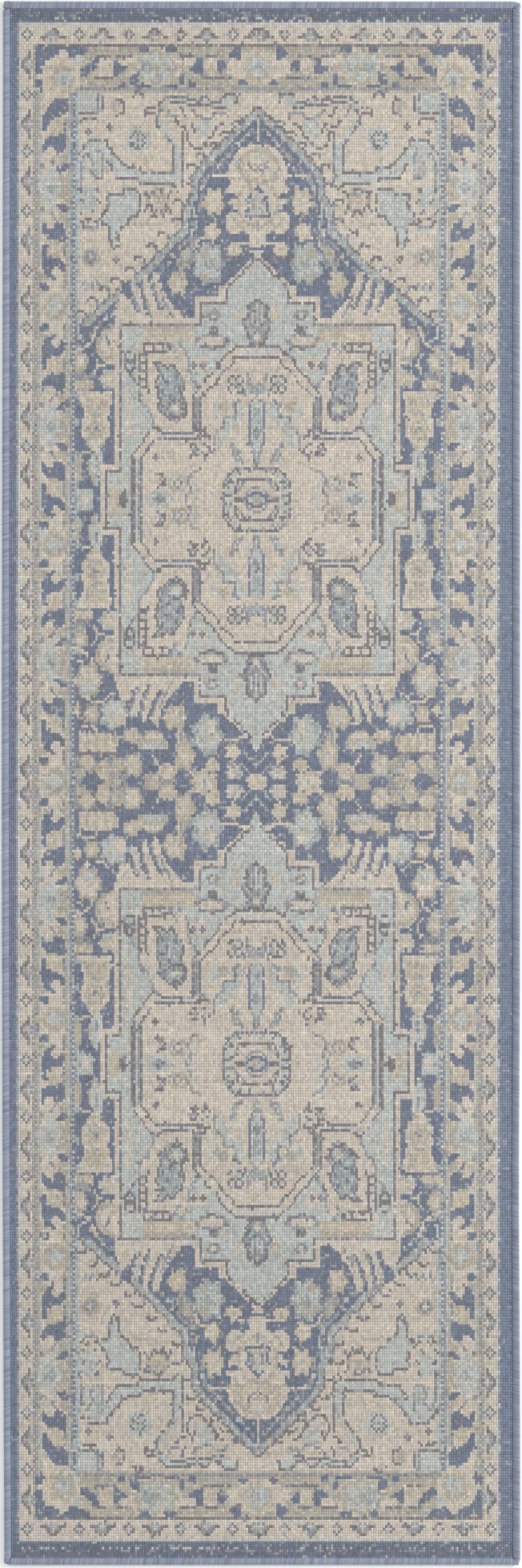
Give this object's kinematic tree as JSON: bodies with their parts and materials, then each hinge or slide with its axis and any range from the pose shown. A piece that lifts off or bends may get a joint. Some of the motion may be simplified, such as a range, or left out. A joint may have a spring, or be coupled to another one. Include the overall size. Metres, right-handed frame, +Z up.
{
  "type": "runner rug",
  "caption": "Long narrow patterned pile rug on a woven ground with a sized back, serged with yarn over a filler cord along all four edges.",
  "frame": {"origin": "middle of the face that lies on the floor", "axes": "+X across the rug, +Y along it towards the head end, +Z up out of the pile"},
  "size_m": [0.61, 1.845, 0.007],
  "materials": {
    "pile": "matt cut pile in denim blue, ivory, pale aqua, taupe and dark plum yarns",
    "ground": "matt plain-woven jute and cotton",
    "sizing": "matt, stiffened with a thin coat of size",
    "serging": "soft low sheen grey-blue yarn, closely wrapped",
    "cord": "matt twisted cotton"
  },
  "bodies": {
    "root": {"back_sizing": "sizing", "ground_weave": "ground", "pile_face": "pile", "serging_head_end": "serging", "serging_foot_end": "serging", "serging_left": "serging", "serging_right": "serging", "edge_cord_head_end": "cord", "edge_cord_foot_end": "cord", "edge_cord_left": "cord", "edge_cord_right": "cord"}
  },
  "joints": []
}
